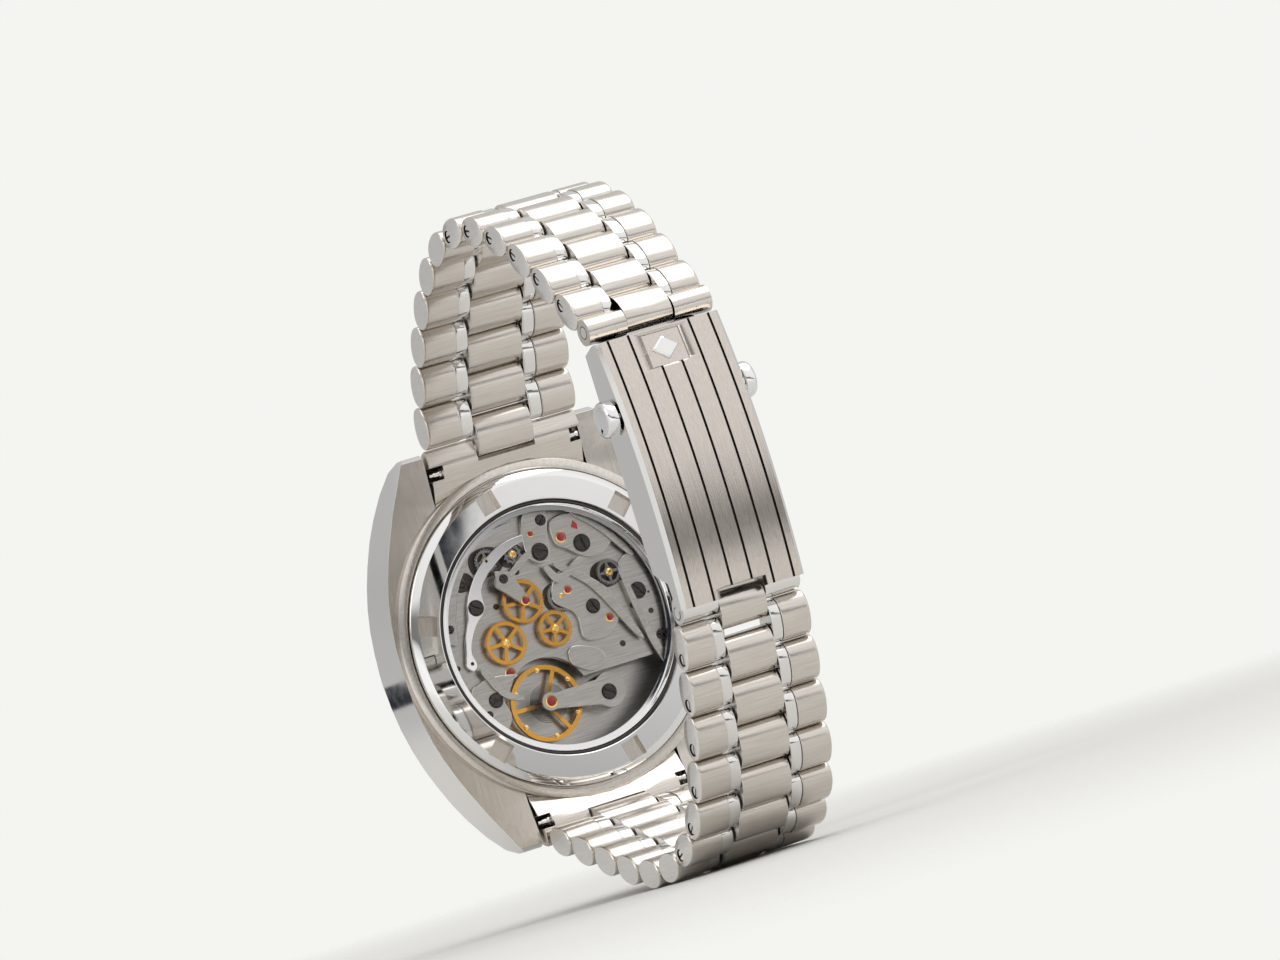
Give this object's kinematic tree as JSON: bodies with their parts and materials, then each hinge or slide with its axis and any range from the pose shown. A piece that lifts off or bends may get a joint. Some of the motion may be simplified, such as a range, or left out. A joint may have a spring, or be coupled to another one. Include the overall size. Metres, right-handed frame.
{
  "type": "wristwatch",
  "caption": "Hand-wound steel chronograph wristwatch with a glazed case back, on a three-row link bracelet closed by a push-button folding clasp.",
  "frame": {"origin": "centre of the flat outer face of the case back's glass", "axes": "+Y out of the case back, towards the clasp; +Z towards the lugs at 6 o'clock; +X to the side without the crown"},
  "size_m": [0.0454, 0.0642, 0.0796],
  "materials": {
    "brushed_steel": "satin, brushed across each link",
    "polished_steel": "mirror polished",
    "sapphire": "clear, anti-reflection coated",
    "seal_rubber": "matt",
    "black_aluminium": "black anodised",
    "black_dial": "matt lacquer",
    "white_lacquer": "painted",
    "rhodium_plate": "fine straight grain, bevelled edges",
    "gilded_brass": "gilded, circular grain"
  },
  "bodies": {
    "case": {"mid_case": "brushed_steel", "caseback_ring": "polished_steel", "caseback_crystal": "sapphire", "caseback_gasket": "seal_rubber", "bezel": "polished_steel", "bezel_insert": "black_aluminium", "front_crystal": "sapphire", "dial": "black_dial", "dial_flange": "black_dial", "main_plate": "rhodium_plate", "train_bridge": "rhodium_plate", "balance_cock": "rhodium_plate", "coupling_cock": "rhodium_plate", "upper_end_link": "brushed_steel", "lower_end_link": "brushed_steel"},
    "minute_hand": {"minute_hand": "white_lacquer"},
    "hour_hand": {"hour_hand": "white_lacquer"},
    "running_seconds": {"running_seconds_hand": "white_lacquer", "driving_wheel": "gilded_brass"},
    "coupling_wheel": {"coupling_wheel": "gilded_brass"},
    "chrono_seconds": {"chrono_seconds_hand": "white_lacquer", "chrono_wheel": "gilded_brass"},
    "minute_counter_hand": {"minute_counter_hand": "white_lacquer"},
    "hour_counter_hand": {"hour_counter_hand": "white_lacquer"},
    "balance_wheel": {"balance_wheel": "gilded_brass"},
    "clutch_lever": {"clutch_lever": "polished_steel"},
    "winding_stem": {"winding_stem": "polished_steel"},
    "crown": {"crown": "polished_steel"},
    "start_pusher": {"start_pusher": "polished_steel"},
    "reset_pusher": {"reset_pusher": "polished_steel"},
    "upper_link_01": {"upper_link_01": "brushed_steel"},
    "upper_link_02": {"upper_link_02": "brushed_steel"},
    "upper_link_03": {"upper_link_03": "brushed_steel"},
    "upper_link_04": {"upper_link_04": "brushed_steel"},
    "upper_link_05": {"upper_link_05": "brushed_steel"},
    "upper_link_06": {"upper_link_06": "brushed_steel"},
    "upper_link_07": {"upper_link_07": "brushed_steel"},
    "upper_link_08": {"upper_link_08": "brushed_steel"},
    "upper_link_09": {"upper_link_09": "brushed_steel"},
    "upper_link_10": {"upper_link_10": "brushed_steel"},
    "upper_link_11": {"upper_link_11": "brushed_steel"},
    "upper_link_12": {"upper_link_12": "brushed_steel"},
    "lower_link_01": {"lower_link_01": "brushed_steel"},
    "lower_link_02": {"lower_link_02": "brushed_steel"},
    "lower_link_03": {"lower_link_03": "brushed_steel"},
    "lower_link_04": {"lower_link_04": "brushed_steel"},
    "lower_link_05": {"lower_link_05": "brushed_steel"},
    "lower_link_06": {"lower_link_06": "brushed_steel"},
    "lower_link_07": {"lower_link_07": "brushed_steel"},
    "lower_link_08": {"lower_link_08": "brushed_steel"},
    "lower_link_09": {"lower_link_09": "brushed_steel"},
    "lower_link_10": {"lower_link_10": "brushed_steel"},
    "lower_link_11": {"lower_link_11": "brushed_steel"},
    "lower_link_12": {"lower_link_12": "brushed_steel"},
    "clasp_inner_blade": {"clasp_inner_blade": "polished_steel"},
    "clasp_middle_blade": {"clasp_middle_blade": "polished_steel"},
    "clasp_cover": {"clasp_cover": "brushed_steel"},
    "plain_side_button": {"plain_side_button": "polished_steel"},
    "crown_side_button": {"crown_side_button": "polished_steel"}
  },
  "joints": [
    {"name": "upper_link_01_bend", "type": "hinge", "parent": "case", "child": "upper_link_01", "pos_m": [0, -0.00055, 0.02285], "axis": [1, 0, 0], "range_deg": [0, 21]},
    {"name": "upper_link_02_bend", "type": "hinge", "parent": "upper_link_01", "child": "upper_link_02", "pos_m": [0, 0.0009, 0.0279], "axis": [1, 0, 0], "range_deg": [0, 18]},
    {"name": "upper_link_03_bend", "type": "hinge", "parent": "upper_link_02", "child": "upper_link_03", "pos_m": [0, 0.00344, 0.03249], "axis": [1, 0, 0], "range_deg": [0, 15]},
    {"name": "upper_link_04_bend", "type": "hinge", "parent": "upper_link_03", "child": "upper_link_04", "pos_m": [0, 0.00675, 0.03657], "axis": [1, 0, 0], "range_deg": [0, 12]},
    {"name": "upper_link_05_bend", "type": "hinge", "parent": "upper_link_04", "child": "upper_link_05", "pos_m": [0, 0.01052, 0.04022], "axis": [1, 0, 0], "range_deg": [0, 12]},
    {"name": "upper_link_06_bend", "type": "hinge", "parent": "upper_link_05", "child": "upper_link_06", "pos_m": [0, 0.01472, 0.04337], "axis": [1, 0, 0], "range_deg": [0, 19]},
    {"name": "upper_link_07_bend", "type": "hinge", "parent": "upper_link_06", "child": "upper_link_07", "pos_m": [0, 0.01955, 0.04543], "axis": [1, 0, 0], "range_deg": [0, 23]},
    {"name": "upper_link_08_bend", "type": "hinge", "parent": "upper_link_07", "child": "upper_link_08", "pos_m": [0, 0.02478, 0.04588], "axis": [1, 0, 0], "range_deg": [0, 24]},
    {"name": "upper_link_09_bend", "type": "hinge", "parent": "upper_link_08", "child": "upper_link_09", "pos_m": [0, 0.02987, 0.04461], "axis": [1, 0, 0], "range_deg": [0, 18]},
    {"name": "upper_link_10_bend", "type": "hinge", "parent": "upper_link_09", "child": "upper_link_10", "pos_m": [0, 0.03455, 0.04223], "axis": [1, 0, 0], "range_deg": [0, 18]},
    {"name": "upper_link_11_bend", "type": "hinge", "parent": "upper_link_10", "child": "upper_link_11", "pos_m": [0, 0.03857, 0.03886], "axis": [1, 0, 0], "range_deg": [0, 12]},
    {"name": "upper_link_12_bend", "type": "hinge", "parent": "upper_link_11", "child": "upper_link_12", "pos_m": [0, 0.04215, 0.03502], "axis": [1, 0, 0], "range_deg": [0, 5]},
    {"name": "clasp_inner_bend", "type": "hinge", "parent": "upper_link_12", "child": "clasp_inner_blade", "pos_m": [0, 0.04573, 0.03118], "axis": [1, 0, 0], "range_deg": [0, 5]},
    {"name": "clasp_unfold", "type": "hinge", "parent": "clasp_inner_blade", "child": "clasp_middle_blade", "pos_m": [0, 0.04735, 0.00156], "axis": [-1, 0, 0], "range_deg": [0, 120]},
    {"name": "clasp_cover_turn", "type": "hinge", "parent": "clasp_middle_blade", "child": "clasp_cover", "pos_m": [0, 0.04829, 0.02462], "axis": [1, 0, 0], "range_deg": [0, 120]},
    {"name": "plain_side_button_press", "type": "slide", "parent": "clasp_cover", "child": "plain_side_button", "axis": [-1, 0, 0], "range_m": [0, 0.0006], "stiffness_N_per_m": 600, "springref_m": -0.0003},
    {"name": "crown_side_button_press", "type": "slide", "parent": "clasp_cover", "child": "crown_side_button", "axis": [1, 0, 0], "range_m": [0, 0.0006], "stiffness_N_per_m": 600, "springref_m": -0.0003},
    {"name": "lower_link_01_bend", "type": "hinge", "parent": "case", "child": "lower_link_01", "pos_m": [0, -0.00055, -0.02285], "axis": [-1, 0, 0], "range_deg": [0, 78]},
    {"name": "lower_link_02_bend", "type": "hinge", "parent": "lower_link_01", "child": "lower_link_02", "pos_m": [0, 0.00447, -0.02439], "axis": [-1, 0, 0], "range_deg": [0, 2]},
    {"name": "lower_link_03_bend", "type": "hinge", "parent": "lower_link_02", "child": "lower_link_03", "pos_m": [0, 0.0094, -0.02618], "axis": [-1, 0, 0], "range_deg": [0, 5]},
    {"name": "lower_link_04_bend", "type": "hinge", "parent": "lower_link_03", "child": "lower_link_04", "pos_m": [0, 0.01434, -0.02798], "axis": [-1, 0, 0], "range_deg": [0, 7]},
    {"name": "lower_link_05_bend", "type": "hinge", "parent": "lower_link_04", "child": "lower_link_05", "pos_m": [0, 0.01933, -0.0296], "axis": [-1, 0, 0], "range_deg": [0, 13]},
    {"name": "lower_link_06_bend", "type": "hinge", "parent": "lower_link_05", "child": "lower_link_06", "pos_m": [0, 0.0245, -0.03051], "axis": [-1, 0, 0], "range_deg": [0, 20]},
    {"name": "lower_link_07_bend", "type": "hinge", "parent": "lower_link_06", "child": "lower_link_07", "pos_m": [0, 0.02973, -0.03005], "axis": [-1, 0, 0], "range_deg": [0, 20]},
    {"name": "lower_link_08_bend", "type": "hinge", "parent": "lower_link_07", "child": "lower_link_08", "pos_m": [0, 0.03466, -0.02826], "axis": [-1, 0, 0], "range_deg": [0, 23]},
    {"name": "lower_link_09_bend", "type": "hinge", "parent": "lower_link_08", "child": "lower_link_09", "pos_m": [0, 0.0388, -0.02502], "axis": [-1, 0, 0], "range_deg": [0, 23]},
    {"name": "lower_link_10_bend", "type": "hinge", "parent": "lower_link_09", "child": "lower_link_10", "pos_m": [0, 0.04174, -0.02067], "axis": [-1, 0, 0], "range_deg": [0, 14]},
    {"name": "lower_link_11_bend", "type": "hinge", "parent": "lower_link_10", "child": "lower_link_11", "pos_m": [0, 0.04396, -0.01591], "axis": [-1, 0, 0], "range_deg": [0, 9]},
    {"name": "lower_link_12_bend", "type": "hinge", "parent": "lower_link_11", "child": "lower_link_12", "pos_m": [0, 0.04584, -0.01101], "axis": [-1, 0, 0], "range_deg": [0, 9]},
    {"name": "minute_hand_turn", "type": "hinge", "parent": "case", "child": "minute_hand", "pos_m": [0, 0, 0], "axis": [0, 1, 0], "continuous": true},
    {"name": "hour_hand_turn", "type": "hinge", "parent": "case", "child": "hour_hand", "pos_m": [0, 0, 0], "axis": [0, 1, 0], "continuous": true},
    {"name": "running_seconds_turn", "type": "hinge", "parent": "case", "child": "running_seconds", "pos_m": [0.0065, 0, 0], "axis": [0, 1, 0], "continuous": true},
    {"name": "coupling_wheel_turn", "type": "hinge", "parent": "case", "child": "coupling_wheel", "pos_m": [0.0029, 0, 0.0041], "axis": [0, 1, 0], "continuous": true},
    {"name": "chrono_seconds_turn", "type": "hinge", "parent": "case", "child": "chrono_seconds", "pos_m": [0, 0, 0], "axis": [0, 1, 0], "continuous": true},
    {"name": "minute_counter_turn", "type": "hinge", "parent": "case", "child": "minute_counter_hand", "pos_m": [-0.0065, 0, 0], "axis": [0, 1, 0], "continuous": true},
    {"name": "hour_counter_turn", "type": "hinge", "parent": "case", "child": "hour_counter_hand", "pos_m": [0, 0, 0.0065], "axis": [0, 1, 0], "continuous": true},
    {"name": "balance_swing", "type": "hinge", "parent": "case", "child": "balance_wheel", "pos_m": [0.0029, 0, -0.008], "axis": [0, 1, 0], "range_deg": [-270, 270], "stiffness_Nm_per_rad": 0.000001},
    {"name": "clutch_lever_swing", "type": "hinge", "parent": "case", "child": "clutch_lever", "pos_m": [0.0087, 0, 0.0049], "axis": [0, 1, 0], "range_deg": [0, 4]},
    {"name": "stem_pull", "type": "slide", "parent": "case", "child": "winding_stem", "axis": [-1, 0, 0], "range_m": [0, 0.001]},
    {"name": "crown_turn", "type": "hinge", "parent": "winding_stem", "child": "crown", "pos_m": [-0.023, -0.0046, 0], "axis": [1, 0, 0], "continuous": true},
    {"name": "start_pusher_press", "type": "slide", "parent": "case", "child": "start_pusher", "axis": [1, 0, 0], "range_m": [0, 0.0008], "stiffness_N_per_m": 600, "springref_m": -0.0005},
    {"name": "reset_pusher_press", "type": "slide", "parent": "case", "child": "reset_pusher", "axis": [1, 0, 0], "range_m": [0, 0.0008], "stiffness_N_per_m": 600, "springref_m": -0.0005}
  ],
  "couplings": [
    {"joint": "clasp_cover_turn", "follows": "clasp_unfold", "ratio": 1},
    {"joint": "hour_hand_turn", "follows": "minute_hand_turn", "ratio": 0.083333},
    {"joint": "running_seconds_turn", "follows": "minute_hand_turn", "ratio": 60},
    {"joint": "coupling_wheel_turn", "follows": "minute_hand_turn", "ratio": -59.192},
    {"joint": "minute_counter_turn", "follows": "chrono_seconds_turn", "ratio": 0.033333},
    {"joint": "hour_counter_turn", "follows": "chrono_seconds_turn", "ratio": 0.0013889}
  ]
}
